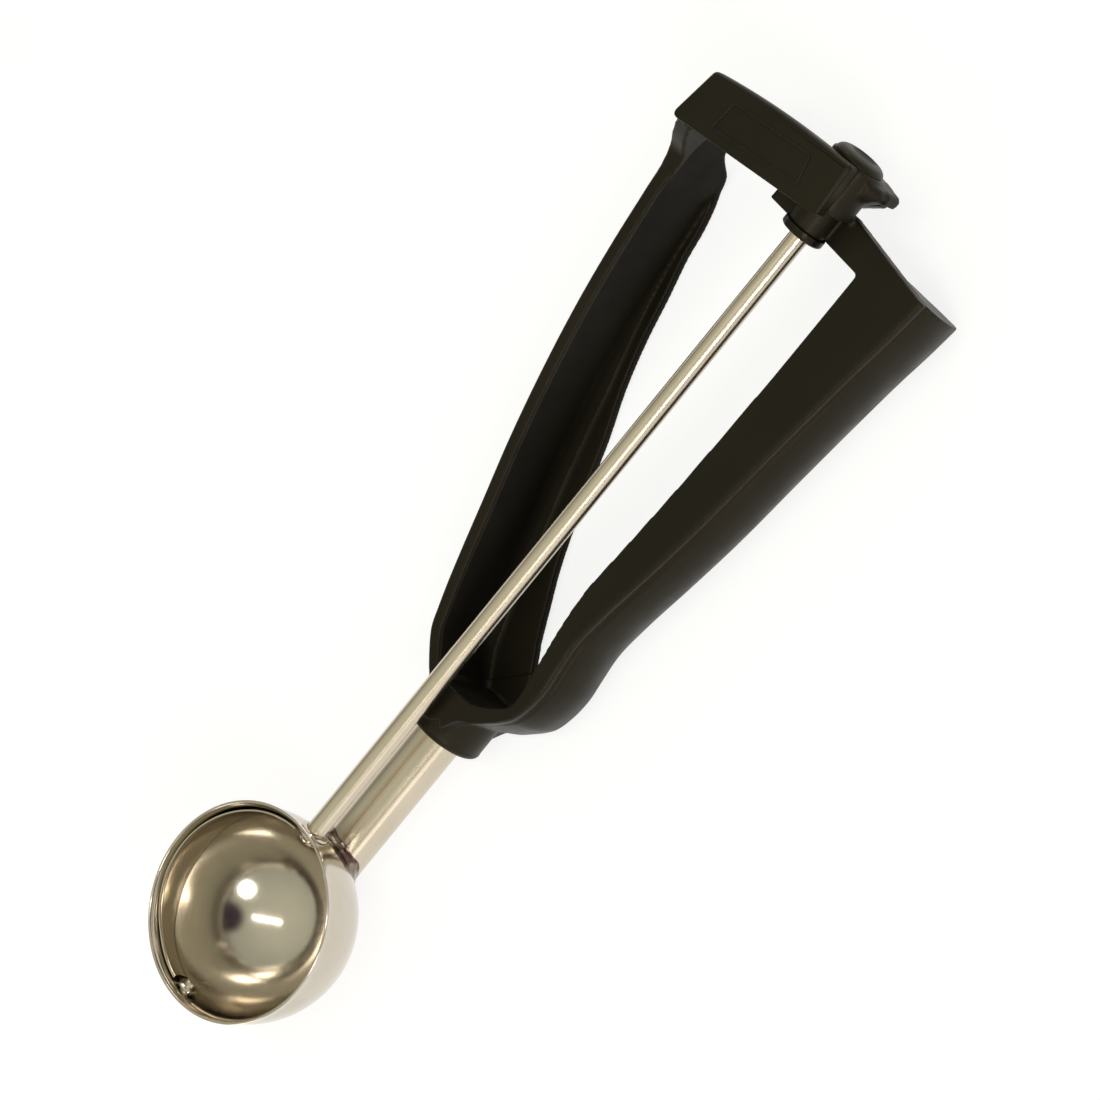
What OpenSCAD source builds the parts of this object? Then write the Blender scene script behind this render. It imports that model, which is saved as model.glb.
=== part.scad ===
// Lever ice cream scoop with a rack-and-pinion scraper.
// Millimetres. X points from the squeeze lever to the fixed arm, Y from the bowl to the fork,
// Z up out of the open bowl. The scoop lies on its bowl and on the back of its handle at z = 0.

/* [Bowl] */
// Outer radius of the bowl
bowl_r = 22.9; // [21:0.1:26]
// Sheet thickness of the bowl
bowl_wall = 0.9; // [0.6:0.1:1.4]
// Height of the flared band above the rod's axis
bowl_band = 4; // [3:0.5:7]
// Outward flare of the band at the rim
bowl_flare = 0.5; // [0:0.1:1]

/* [Scraper] */
// Clearance between the blade and the bowl
blade_gap = 0.3; // [0.2:0.05:0.5]
// Thickness of the blade
blade_t = 0.8; // [0.5:0.1:1.2]
// Half angle that the blade spans at the bottom of the bowl
blade_half = 10; // [8:0.5:14]
// Half width of the blade beside its hubs
blade_neck = 2.4; // [2:0.1:3.2]
// Angle of the parked blade below the rod's level
blade_park = 1; // [1:0.5:8]
// Length of the two blade hubs
hub_len = 1.4; // [1:0.2:3]
// Radius of the front pivot pin
pivot_r = 1.5; // [1:0.1:2]
// Radius of the pivot's outer head
pivot_head_r = 2.3; // [2:0.1:3.5]
// Height of the pivot's outer head
pivot_head_h = 1; // [0.8:0.1:2]

/* [Rod] */
// Radius of the drive rod
rod_r = 2.15; // [1.8:0.05:2.5]
// Radial running clearance of the rod and pivot in their bores
run_gap = 0.05; // [0.02:0.01:0.08]
// Free length between the collar's lower rim and the bowl's centre
collar_y = 54; // [45:0.1:65]

/* [Shank] */
// Outer radius of the shank tube
tube_r = 5.5; // [4.5:0.1:6.2]
// Wall of the shank tube
tube_wall = 0.9; // [0.6:0.1:1.5]
// Height of the collar's back above the resting plane
collar_lift = 0.2; // [0.1:0.1:1]
// Width of the brazed fillet round the tube's foot
braze_w = 0.8; // [0.6:0.1:1.8]
// Radius of the cross pin that locks the tube
lock_pin_r = 1.2; // [0.8:0.1:1.6]

/* [Handle] */
// Distance of the handle's front face behind the rod's axis
rod_stand = 3.5; // [3.2:0.1:4]
// Wall between the tube and the outside of the collar
collar_wall = 3.5; // [2.5:0.1:3.8]
// Length of the collar below the pivot
collar_len = 7; // [6.5:0.1:12]
// Length of the arms from the pivot to the bar's outer corner
arm_len = 131; // [115:1:150]
// Thickness of the front plate of the fixed arm and the bar
plate_t = 2.8; // [2:0.1:4]
// Thickness of the lever's wall at its root
lever_wall = 2.6; // [2.2:0.1:3.4]
// Thickness of the lever's back flange
flange_t = 2.2; // [1.6:0.1:3]
// Bulge of the fixed arm's padded outer side
crown = 2.4; // [1:0.2:3]
// Bulge of the lever's outer side
lever_crown = 1.4; // [0.6:0.2:2]
// Radius of the boss that the lever's root turns on
boss_r = 4.3; // [3.8:0.1:4.6]
// Gap between moving curved faces
move_gap = 0.3; // [0.2:0.05:0.5]

/* [Fork] */
// Height of the bar along the rod
bar_h = 7; // [5.5:0.5:9]
// Radius of the bearing block round the rod
block_r = 4.2; // [3.9:0.1:4.5]
// Outer radius of the bush that carries the rod
bush_r = 3; // [2.8:0.1:3.4]
// Radius of the bush's flange
bush_flange_r = 4.5; // [4.3:0.1:5.2]
// Thickness of the bush's flange
bush_flange_t = 1.4; // [1:0.1:3]
// Thickness of the roof plate over the pinion
roof_t = 2.5; // [2:0.1:3.5]
// Wall of the round guard beside the pinion
guard_t = 1.1; // [0.9:0.1:1.6]
// Radius of the cap on the roof plate
cap_r = 5.7; // [5.3:0.1:6.1]
// Height of the cap
cap_h = 1.5; // [1.3:0.1:2.5]
// Reach of the thumb hook beside the rod's axis
hook_reach = 10.2; // [8.6:0.2:13]
// Slope of the roof and the hook towards the back
back_slope = 0.337; // [0.2:0.01:0.4]

/* [Gear] */
// Module of the pinion and rack
gear_m = 0.9; // [0.85:0.05:1]
// Number of pinion teeth
pinion_n = 9; // [9:1:10]
// Face width of the pinion
pinion_w = 4.2; // [3.6:0.2:5]
// Length of the pinion's plain hub under the roof
hub_h = 2.2; // [1:0.2:3]
// Thickness of the thrust washer
washer_t = 0.6; // [0.4:0.1:1]
// Thinning of each tooth for backlash
backlash = 0.14; // [0.1:0.01:0.2]
// Travel of the squeeze lever in degrees
squeeze = 5.2; // [4:0.1:5.2]

/* [Rack head] */
// Thickness of the head's front cover
cover_t = 3; // [1.6:0.1:3]
// Radius of the cover's arched top edge
cover_arc = 122; // [90:2:160]
// Thickness of the rail that carries the rack
rail_t = 2; // [1.5:0.1:3]
// Thickness of the rack behind its teeth
rack_back = 2; // [1.2:0.1:3]

/* [Hidden] */
$fn = 96;
tiny = 0.01;

// Heights above the resting plane
rod_z = bowl_r;
handle_d = rod_z - rod_stand;
collar_r = tube_r + collar_wall;
tube_z = collar_r + collar_lift;

// Places along the rod, from the bowl's centre
pivot_y = collar_y + collar_len;
bar_y1 = pivot_y + arm_len + 2;
bar_y0 = bar_y1 - bar_h;
pinion_y0 = bar_y1 + washer_t + 0.4;
pinion_y1 = pinion_y0 + pinion_w;
gear_y = pinion_y0 + pinion_w / 2;
roof_y0 = pinion_y1 + hub_h + 0.3;
roof_y1 = roof_y0 + roof_t;
top_y = roof_y1 + cap_h;
tube_y1 = pivot_y - boss_r + 3.8;
rod_y1 = roof_y1 + 0.4 * cap_h;

// Blade radii and ends
blade_r = bowl_r - bowl_wall - blade_gap;
hub_r = rod_r + 0.7;
hub_y = sqrt(pow(bowl_r - bowl_wall, 2) - pow(hub_r, 2)) - 0.3;

// Gear radii
pitch_r = gear_m * pinion_n / 2;
addendum = 0.72 * gear_m;
dedendum = 0.95 * gear_m;
press_angle = 25;
rack_radius = gear_y - pivot_y;
rack_step = gear_m * 180 / rack_radius;
rack_w = pinion_w - 0.6;
rack_teeth_left = ceil((squeeze + 1) / rack_step);
rack_teeth_right = 0;
guard_r = pitch_r + addendum + 0.4;
roof_r = guard_r + guard_t;

// Depths of the head, as heights above the resting plane
cover_z0 = rod_z + pitch_r + addendum + move_gap;
cover_z1 = cover_z0 + cover_t;
rack_root_z = rod_z - pitch_r - dedendum;
rack_top_z = rod_z - pitch_r + addendum;
rail_z1 = rack_root_z - rack_back;
rail_z0 = rail_z1 - rail_t;
post_z1 = rail_z0 - 0.4;
post_z0 = post_z1 - 2.8;
head_z0 = 11.4;

// Every outline below is a list of places [x, height above the pivot], for an arm 131 long.
// With another arm_len the arms stretch below height 110, and the head and fork keep their size.
function up(h) = pivot_y + (h < 110 ? h * (arm_len - 21) / 110 : h + arm_len - 131);

// Fixed arm: [inner x, inner height, outer x, outer height, share of the crown, lean back]
arm_rows = [
    [0, 0.8, 5.2, -4.5, 0, 0], [3.2, 4.5, 7.8, 0.9, 0, 0], [6.4, 5.2, 10.2, 2.6, 0.1, 0],
    [9.2, 6.8, 13, 5, 0.2, 0], [12, 9, 15.6, 7.5, 0.35, 0], [14.8, 11.6, 17.4, 10.4, 0.6, 0],
    [15.1, 14.6, 18.5, 14.3, 0.8, 0], [14.2, 18.2, 19, 18.6, 0.9, 0],
    [12.9, 23.6, 18.6, 23.8, 0.9, 0], [12.4, 30, 17.9, 30, 0.95, 0],
    [12.5, 39, 18.3, 38.5, 1.05, 0], [12.9, 60, 20.5, 59.2, 1.25, 0],
    [13, 85, 23, 84, 1.2, 0], [13, 100, 24.6, 99, 1.1, 0], [13.1, 115, 26.4, 113.5, 1, 0],
    [13.3, 124, 27.8, 122.6, 0.95, 0.06], [13.4, 132.2, 29, 131, 0.8, 0.2]];

// Squeeze lever: [outer x, outer height, share of the crown, back z, front z less handle depth]
lever_rows = [
    [-4.6, 2, 0.1, 0, 0], [-8.9, 6.4, 0.3, 0, 0], [-11.4, 9.7, 0.7, 0, 0],
    [-13.1, 13.7, 1, 0, 0], [-14.9, 18, 1, 0, 0], [-17.8, 25.6, 1, 0, 0],
    [-21.2, 35.2, 1, 0, 0], [-26, 49.5, 1, 0, 0], [-30.5, 65.4, 1, 0, 0],
    [-34, 80.5, 1, 0, 0], [-36.6, 95.5, 1, 0, 0], [-38.1, 106.5, 1, 0, 0],
    [-39, 113.6, 0.8, 0.6, 0], [-38.9, 117, 0.5, 3, 1], [-38.3, 120, 0.2, 6.5, 3.6],
    [-37.4, 124.6, 0.15, 10.5, 7]];
function wall_at(i) = lever_wall + 0.4 * i / (len(lever_rows) - 1);

// Corners of the head's cover: bottom left, bottom right, top right, top left
cover_corners = [[-35.9, 124], [4.8, 131], [4.3, 143.2], [-34.6, 135.9]];

// Free edge of the lever's back flange, and the foot of the flange over the boss
flange_edge = [[-34.9, 105.2], [-32.4, 98.4], [-29.8, 89], [-27.6, 79.9], [-24.1, 69.2],
    [-19.5, 59], [-15.6, 48.6], [-11.9, 39.2], [-8.5, 31.9], [-5, 25.7], [-0.7, 18.2],
    [2.1, 13.5], [3.2, 9.5], [2.4, 7.4]];

// Side of the fixed arm, front to back: [share of the crown, height share, fixed inset]
side_rows = [[0.25, 0.91, 0], [0.02, 0.865, 0], [0.4, 0.81, 0], [0.8, 0.68, 0],
    [1, 0.53, 0], [0.93, 0.38, 0], [0.62, 0.24, 0], [0.2, 0.11, 0.8]];
edge_back = 4.5;

// ---------- Shared shapes ----------

// Solid between equal rings of points
module loft(rings) {
    n = len(rings[0]);
    m = len(rings);
    points = [for (ring = rings) each ring];
    sides = [for (i = [0 : m - 2], j = [0 : n - 1])
        let (a = i * n + j, b = i * n + (j + 1) % n) each [[a, b + n, b], [a, a + n, b + n]]];
    polyhedron(points, concat([[for (j = [0 : n - 1]) j]], sides,
        [[for (j = [n - 1 : -1 : 0]) (m - 1) * n + j]]));
}

// Cylinder along Y from y0 to y1 at height z
module bar_y(r, y0, y1, z = rod_z) {
    translate([0, y0, z]) rotate([-90, 0, 0]) cylinder(r = r, h = y1 - y0);
}

// Flat shape in the X-Y plane between two heights
module slab(z0, z1) {
    translate([0, 0, z0]) linear_extrude(z1 - z0) children();
}

// Sector of a ring about the lever's pivot, measured from +Y towards -X
module sector(r0, r1, a0, a1) {
    steps = 24;
    arc = [for (i = [0 : steps]) a0 + (a1 - a0) * i / steps];
    polygon(concat([for (a = arc) [-r1 * sin(a), pivot_y + r1 * cos(a)]],
        [for (i = [steps : -1 : 0]) [-r0 * sin(arc[i]), pivot_y + r0 * cos(arc[i])]]));
}

// ---------- Arm sections ----------

// One ring of the fixed arm: front plate, crowned and grooved side, rounded back
function arm_ring(row) = let (
    inner = [row[0], up(row[1])], outer = [row[2], up(row[3])], w = norm(outer - inner),
    dir = (outer - inner) / w, back = min(edge_back, w - 1.2),
    profile = concat([[0, handle_d], [w, handle_d]],
        [for (s = side_rows) [w + crown * row[4] * s[0] - s[2] * back / edge_back,
            handle_d * s[1]]],
        [[w - back, 0], [0, 0]]))
    [for (p = profile) [inner[0] + dir[0] * p[0],
        inner[1] + dir[1] * p[0] - row[5] * (handle_d - p[1]), p[1]]];

// Unit normal of the lever's outer line, pointing to its inner side
function lever_normal(i) = let (
    a = lever_rows[max(i - 1, 0)], b = lever_rows[min(i + 1, len(lever_rows) - 1)],
    d = [b[0] - a[0], up(b[1]) - up(a[1])]) [d[1], -d[0]] / norm(d);

// One ring of the lever: a wall with a crowned outer side
function lever_ring(i) = let (
    row = lever_rows[i], n = lever_normal(i), outer = [row[0], up(row[1])], t = wall_at(i),
    z0 = row[3], z1 = handle_d + row[4], c = lever_crown * row[2],
    profile = [[0, 1], [t, 1], [t, 0], [0.9, 0], [-0.3 * c, 0.06], [-0.8 * c, 0.2],
        [-c, 0.4], [-c, 0.6], [-0.8 * c, 0.8], [-0.3 * c, 0.95]])
    [for (p = profile) [outer[0] + n[0] * p[0], outer[1] + n[1] * p[0], z0 + (z1 - z0) * p[1]]];

arm_rings = [for (row = arm_rows) arm_ring(row)];
lever_rings = [for (i = [0 : len(lever_rows) - 1]) lever_ring(i)];

// Centre of the part's box, so that the origin lies at the middle of its base
x_low = min([for (ring = lever_rings, p = ring) p[0]]);
x_high = max([for (ring = arm_rings, p = ring) p[0]]);
y_low = -(bowl_r + pivot_head_h);
origin_x = (x_low + x_high) / 2;
origin_y = (y_low + top_y) / 2;
module placed() {
    translate([-origin_x, -origin_y, 0]) children();
}

// ---------- Bowl and shank ----------

module bowl_form(r, top) {
    translate([0, 0, rod_z]) {
        intersection() {
            sphere(r = r);
            translate([-2 * r, -2 * r, -2 * r]) cube([4 * r, 4 * r, 2 * r]);
        }
        cylinder(r1 = r, r2 = r + bowl_flare * top / bowl_band, h = top);
    }
}

module bowl() {
    color([0.80, 0.76, 0.70]) placed() difference() {
        bowl_form(bowl_r, bowl_band);
        bowl_form(bowl_r - bowl_wall, bowl_band + 1);
        bar_y(sleeve_r, 0, 2 * bowl_r);
        bar_y(pivot_r, -2 * bowl_r, 0);
    }
}

// Flanged eyelet that lines the rod's hole in the bowl
sleeve_r = rod_r + run_gap + 0.7;
module bowl_eyelet() {
    y_wall = sqrt(pow(bowl_r, 2) - pow(sleeve_r, 2));
    color([0.45, 0.42, 0.38]) placed() difference() {
        union() {
            bar_y(sleeve_r, y_wall - bowl_wall, bowl_r + 0.7);
            difference() {
                bar_y(sleeve_r + 0.5, y_wall - 0.5, bowl_r + 0.7);
                bowl_form(bowl_r, bowl_band);
            }
        }
        bar_y(rod_r + run_gap, 0, 2 * bowl_r);
    }
}

module shank_tube() {
    color([0.82, 0.78, 0.72]) placed() difference() {
        bar_y(tube_r, bowl_r / 2, tube_y1, tube_z);
        bar_y(tube_r - tube_wall, 0, 2 * tube_y1, tube_z);
        translate([0, 0, rod_z]) sphere(r = bowl_r);
        lock_pin_hole();
    }
}

module braze_fillet() {
    color([0.55, 0.44, 0.33]) placed() intersection() {
        difference() {
            bar_y(tube_r + braze_w, bowl_r / 2, 2 * bowl_r, tube_z);
            bar_y(tube_r, 0, 3 * bowl_r, tube_z);
            translate([0, 0, rod_z]) sphere(r = bowl_r);
        }
        translate([0, 0, rod_z]) sphere(r = bowl_r + braze_w);
    }
}

lock_pin_y = collar_y + 4.5;
lock_pin_top = tube_z + tube_r + 1.5;
module lock_pin_hole() {
    translate([0, lock_pin_y, -1]) cylinder(r = lock_pin_r, h = lock_pin_top + 1);
}

// Cross pin pressed in from the back of the collar
module shank_lock_pin() {
    color([0.6, 0.6, 0.6]) placed()
        translate([0, lock_pin_y, 1.6]) cylinder(r = lock_pin_r, h = lock_pin_top - 1.8);
}

// ---------- Handle ----------

module collar() {
    bar_y(collar_r, collar_y, pivot_y - 1.5, tube_z);
    slab(handle_d - 4.5, handle_d) polygon([[-2.4, collar_y + 3.5], [3.6, collar_y + 3.5],
        [6.4, collar_y + 5.4], [6.8, pivot_y - 1], [4, pivot_y + 1], [-4, pivot_y + 1],
        [-4, collar_y + 5]]);
    slab(0, handle_d) translate([0, pivot_y]) circle(r = boss_r);
    slab(1.4, handle_d - 1.4) translate([-boss_r, pivot_y - 3]) square([2 * boss_r, 3]);
}

// Hollow behind the front plate of the fixed arm, open to its inner side and back
module arm_pocket() {
    slab(-1, handle_d - plate_t) polygon([[10, up(57)], [13.6, up(57)],
        [21, bar_y0 - 7], [10, bar_y0 - 7]]);
}

// Thin bar from the fixed arm past the rod, with its free end beside the bush
module bar_plate() {
    slab(handle_d - plate_t, handle_d) difference() {
        polygon([[-13.2, bar_y0 - 1.4], [-2, bar_y0 - 1.4], [-2, bar_y0], [20, bar_y0 - 1],
            [28.8, bar_y1 - 2.2], [block_r + 1, bar_y1 + 0.3], [-12.2, bar_y1]]);
        translate([-2, bar_y0 - 4]) square([15.4, 4]);
    }
}

// Post and sloping roof that hold the rod's top end over the pinion
module fork_roof() {
    slope_y = back_slope * (handle_d - post_z0);
    intersection() {
        translate([-5.5, 0, 0]) rotate([90, 0, 90]) linear_extrude(10) polygon([
            [bar_y0, post_z0], [roof_y1 - slope_y, post_z0], [roof_y1, handle_d],
            [roof_y1, rod_z], [roof_y0, rod_z], [roof_y0, rail_z1 + 2],
            [roof_y0 - 1.4, post_z1], [bar_y1 - 0.3, post_z1], [bar_y1 - 0.3, handle_d - tiny],
            [bar_y0, handle_d - tiny]]);
        slab(0, 2 * handle_d) polygon([[-5.5, bar_y0], [-1, bar_y0], [-0.8, bar_y1 + 0.6],
            [0.8, bar_y1 + 1.9], [4.2, bar_y1 + 4.6], [3.9, top_y], [-5.5, top_y]]);
    }
    intersection() {
        union() {
            bar_y(roof_r, roof_y0, roof_y1);
            difference() {
                bar_y(roof_r, bar_y1 - 0.8, roof_y0 + 0.5);
                bar_y(guard_r, bar_y0, roof_y0);
                slab(0, handle_d - 0.4) translate([0, bar_y0]) square(4 * cap_r);
                slab(0, rack_top_z + 0.4) translate([0, bar_y1]) square(4 * cap_r);
                slab(0, 4 * handle_d) translate([-2 * top_y, 0]) square(2 * top_y);
            }
        }
        slab(0, cover_z0 - move_gap) square(4 * top_y, center = true);
    }
    thumb_hook();
}

// Thumb hook beside the roof
module thumb_hook() {
    slab(handle_d - 3.5, handle_d + 0.7) translate([0, roof_y1]) polygon([[1, -1.4], [1, -0.3],
        [hook_reach - 2, -0.8], [hook_reach - 1, -1.5], [hook_reach - 1.2, -3.2],
        [hook_reach - 3.2, -2.9], [hook_reach - 5.6, -2.2]]);
}

module handle_frame() {
    color([0.13, 0.12, 0.11]) placed() difference() {
        union() {
            difference() {
                loft(arm_rings);
                arm_pocket();
            }
            collar();
            bar_plate();
            bar_y(block_r, bar_y0, bar_y1);
            fork_roof();
        }
        bar_y(tube_r, collar_y - 1, tube_y1, tube_z);
        bar_y(bush_r, bar_y0 - 2, bar_y1 + 0.5);
        bar_y(rod_r + run_gap, bar_y1, top_y + 1);
        lock_pin_hole();
    }
}

// Flanged bush in the bar, round the rod
module fork_bush() {
    color([0.10, 0.10, 0.09]) placed() difference() {
        union() {
            bar_y(bush_flange_r, bar_y0 - bush_flange_t, bar_y0);
            bar_y(bush_r, bar_y0 - tiny, bar_y1);
        }
        bar_y(rod_r + run_gap, 0, 2 * bar_y1);
        slab(0, handle_d + 0.01) translate([-20, bar_y0 - 1.4 - tiny]) square([40, 40]);
    }
}

// Cap over the rod's top end
module fork_cap() {
    color([0.12, 0.11, 0.10]) placed() translate([0, roof_y1, rod_z]) rotate([-90, 0, 0])
        rotate_extrude() polygon([[rod_r + 0.4, 0], [cap_r, 0], [cap_r - 0.1, cap_h * 0.3],
            [cap_r - 0.8, cap_h * 0.7], [cap_r - 1.9, cap_h], [cap_r / 2, cap_h],
            [cap_r / 2 - 0.5, cap_h - 0.35], [0, cap_h - 0.35], [0, 0.4 * cap_h + 0.2],
            [rod_r + 0.4, 0.4 * cap_h + 0.2]]);
}

// ---------- Rod, gear and scraper ----------

module front_pivot() {
    color([0.78, 0.74, 0.68]) placed() {
        y_wall = -sqrt(pow(bowl_r, 2) - pow(pivot_r, 2));
        bar_y(pivot_r, y_low + 0.3, -(hub_y - hub_len));
        difference() {
            bar_y(pivot_head_r, y_low, y_wall + 0.2);
            bowl_form(bowl_r, bowl_band);
        }
    }
}

module drive_rod() {
    color([0.83, 0.80, 0.74]) placed() bar_y(rod_r, hub_y - hub_len, rod_y1);
}

module thrust_washer() {
    color([0.7, 0.7, 0.68]) placed() difference() {
        bar_y(rod_r + 2.1, pinion_y0 - washer_t, pinion_y0);
        bar_y(rod_r, 0, 2 * top_y);
    }
}

// Involute pinion with a tooth gap facing the rack
function involute(a) = tan(a) - a * PI / 180;
base_r = pitch_r * cos(press_angle);
function half_tooth(r) = let (c = min(1, base_r / r))
    ((PI * gear_m / 2 - backlash) / 2 / pitch_r + involute(press_angle) - involute(acos(c)))
    * 180 / PI;
module pinion_outline() {
    flank = [for (i = [0 : 6]) base_r + (pitch_r + addendum - base_r) * i / 6];
    root = pitch_r - dedendum;
    steps = [for (k = [0 : pinion_n - 1]) 90 + (k + 0.5) * 360 / pinion_n];
    polygon([for (s = steps) each concat(
        [root * [cos(s - half_tooth(base_r)), sin(s - half_tooth(base_r))]],
        [for (r = flank) r * [cos(s - half_tooth(r)), sin(s - half_tooth(r))]],
        [for (i = [6 : -1 : 0]) flank[i] * [cos(s + half_tooth(flank[i])),
            sin(s + half_tooth(flank[i]))]],
        [root * [cos(s + half_tooth(base_r)), sin(s + half_tooth(base_r))]])]);
}

module pinion() {
    color([0.68, 0.67, 0.64]) placed() difference() {
        union() {
            translate([0, pinion_y0, rod_z]) rotate([-90, 0, 0]) linear_extrude(pinion_w)
                pinion_outline();
            bar_y(pitch_r - dedendum - 0.6, pinion_y1 - tiny, pinion_y1 + hub_h);
        }
        bar_y(rod_r, 0, 2 * top_y);
    }
}

// Curved blade with a hub at each end, parked against the bowl's left wall
module scraper_blade() {
    reach = 2 * bowl_r;
    color([0.80, 0.77, 0.71]) placed() difference() {
        union() {
            translate([0, 0, rod_z]) intersection() {
                difference() {
                    sphere(r = blade_r);
                    sphere(r = blade_r - blade_t);
                }
                rotate([0, -180 - blade_park, 0]) union() {
                    rotate([90, 0, 0]) linear_extrude(2 * reach, center = true)
                        polygon([[0, 0], reach * [cos(blade_half), -sin(blade_half)],
                            reach * [cos(blade_half), sin(blade_half)]]);
                    translate([0, -reach, -blade_neck]) cube([reach, 2 * reach, 2 * blade_neck]);
                }
            }
            bar_y(hub_r, hub_y - hub_len, hub_y);
            bar_y(hub_r, -hub_y, hub_len - hub_y);
        }
        bar_y(rod_r, 0, reach);
        bar_y(pivot_r + run_gap, -reach, 0);
    }
}

// ---------- Squeeze lever and rack ----------

module squeeze_lever() {
    inner = [for (i = [len(lever_rows) - 5 : -1 : 1]) let (n = lever_normal(i), r = lever_rows[i])
        [r[0] + n[0] * 1.2, up(r[1]) + n[1] * 1.2]];
    foot = [for (a = [-14 : 14 : 56]) [-(boss_r - 0.5) * sin(a), pivot_y + (boss_r - 0.5) * cos(a)]];
    color([0.13, 0.12, 0.11]) placed() difference() {
        union() {
            loft(lever_rings);
            slab(0.1, flange_t) polygon(concat(
                [for (p = flange_edge) [p[0], up(p[1])]], foot, [for (i = [len(inner) - 1 : -1 : 0])
                    inner[i]]));
        }
        slab(-1, handle_d + 9) translate([0, pivot_y]) circle(r = boss_r + move_gap);
    }
}

// Outline of the head's cover with its arched top edge
module cover_outline() {
    c = [for (p = cover_corners) [p[0], up(p[1])]];
    chord = c[2] - c[3];
    normal = [-chord[1], chord[0]] / norm(chord);
    centre = (c[2] + c[3]) / 2 - normal * sqrt(pow(cover_arc, 2) - pow(norm(chord) / 2, 2));
    intersection() {
        polygon([c[0], c[1], c[2] + normal * 3, c[3] + normal * 3]);
        translate(centre) circle(r = cover_arc, $fn = 720);
    }
}

// Head of the lever: cover in front of the rod, rail behind it, joined at the left
module rack_housing() {
    travel = rack_radius * sin(squeeze);
    block_x = -13.2 - travel - 0.7;
    web_x = -pitch_r - addendum - travel - 0.7;
    color([0.14, 0.13, 0.11]) placed() {
        slab(cover_z0, cover_z1) cover_outline();
        intersection() {
            slab(head_z0, cover_z0 + tiny) intersection() {
                cover_outline();
                polygon([[-60, up(120)], [block_x, up(120)], [block_x, bar_y1 + 0.8],
                    [web_x, bar_y1 + 1.6], [web_x, top_y], [-60, top_y]]);
            }
            translate([-60, 0, 0]) rotate([90, 0, 90]) linear_extrude(60) polygon([
                [up(120), cover_z1], [up(138), cover_z1],
                [up(138) - back_slope * (cover_z1 - head_z0), head_z0], [up(120), head_z0]]);
        }
        slab(rail_z0, rail_z1) intersection() {
            sector(rack_radius - rack_w / 2 - 0.2, rack_radius + rack_w / 2 + 0.2, -0.8, 13.5);
            polygon([[-35, up(120)], [10, up(120)], [10, top_y], [-18, up(138)],
                [-30, up(133.6)], [-35, up(131)]]);
        }
    }
}

// Straight-sided rack teeth, each turned about the lever's pivot to its own place
module rack() {
    half = (PI * gear_m / 2 - backlash) / 2;
    slope = tan(press_angle);
    color([0.70, 0.69, 0.66]) placed() {
        slab(rail_z1, rack_root_z) sector(rack_radius - rack_w / 2, rack_radius + rack_w / 2,
            -0.8, (rack_teeth_left + 0.5) * rack_step);
        for (k = [-rack_teeth_right : rack_teeth_left])
            translate([0, pivot_y, rack_root_z - tiny]) rotate(k * rack_step)
                translate([0, rack_radius + rack_w / 2, 0]) rotate([90, 0, 0])
                    linear_extrude(rack_w) polygon([
                        [-half - dedendum * slope, 0], [half + dedendum * slope, 0],
                        [half - addendum * slope, addendum + dedendum],
                        [-half + addendum * slope, addendum + dedendum]]);
    }
}

bowl();
bowl_eyelet();
shank_tube();
braze_fillet();
shank_lock_pin();
handle_frame();
fork_bush();
fork_cap();
front_pivot();
drive_rod();
thrust_washer();
pinion();
scraper_blade();
squeeze_lever();
rack_housing();
rack();
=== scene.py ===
"""Lever ice cream scoop: the moulded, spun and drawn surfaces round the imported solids."""
import math

import bmesh
import bpy
from mathutils import Matrix, Vector

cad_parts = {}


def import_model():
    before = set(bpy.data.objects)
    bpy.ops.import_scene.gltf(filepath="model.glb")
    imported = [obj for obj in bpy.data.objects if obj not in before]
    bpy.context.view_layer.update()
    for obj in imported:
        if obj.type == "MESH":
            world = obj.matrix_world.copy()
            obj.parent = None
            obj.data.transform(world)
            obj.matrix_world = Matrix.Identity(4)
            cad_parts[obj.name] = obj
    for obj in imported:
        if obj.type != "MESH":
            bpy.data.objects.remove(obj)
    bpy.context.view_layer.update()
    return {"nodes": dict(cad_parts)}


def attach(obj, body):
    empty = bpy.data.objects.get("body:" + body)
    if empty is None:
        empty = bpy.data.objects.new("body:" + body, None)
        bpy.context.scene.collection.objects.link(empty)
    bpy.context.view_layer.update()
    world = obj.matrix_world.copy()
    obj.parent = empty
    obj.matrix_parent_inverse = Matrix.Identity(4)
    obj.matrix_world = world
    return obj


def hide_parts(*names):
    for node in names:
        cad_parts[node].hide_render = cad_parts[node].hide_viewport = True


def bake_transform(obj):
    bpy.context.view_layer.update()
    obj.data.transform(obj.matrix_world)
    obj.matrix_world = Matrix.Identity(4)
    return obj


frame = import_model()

# ---------------------------------------------------------------- named sizes, millimetres
# Places are (x, y, z): x and y from the bowl's centre, z above the surface the scoop lies on.
# The frame's origin lies at ORIGIN_X, ORIGIN_Y.
ORIGIN_X = -4.60121
ORIGIN_Y = 90.9
RUN_GAP = 0.05
MOVE_GAP = 0.3

BOWL_R = 22.9
BOWL_WALL = 0.9
BOWL_BAND = 4.0
BOWL_FLARE = 0.5
ROD_Z = BOWL_R
ROD_R = 2.15
HANDLE_D = 19.4
TUBE_R = 5.5
TUBE_WALL = 0.9
TUBE_Z = 9.2
COLLAR_Y = 54.0
PIVOT_Y = 61.0
BOSS_R = 4.3
BLOCK_R = 4.2
BAR_Y0 = 187.0
BAR_Y1 = 194.0
ROOF_Y0 = 201.7
ROOF_Y1 = 204.2
TOP_Y = 205.7
PLATE_T = 2.8
LEVER_WALL = 2.6
FLANGE_T = 2.2
CAP_R = 5.7
GUARD_R = 5.1
ROOF_R = 6.2
GUARD_Z0 = 19.9
COVER_Z0 = 27.9
COVER_Z1 = 30.9
SLOPE = 0.337
TINY = 1e-6


def up(height):
    """Height above the pivot as a place along Y."""
    return PIVOT_Y + height


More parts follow.
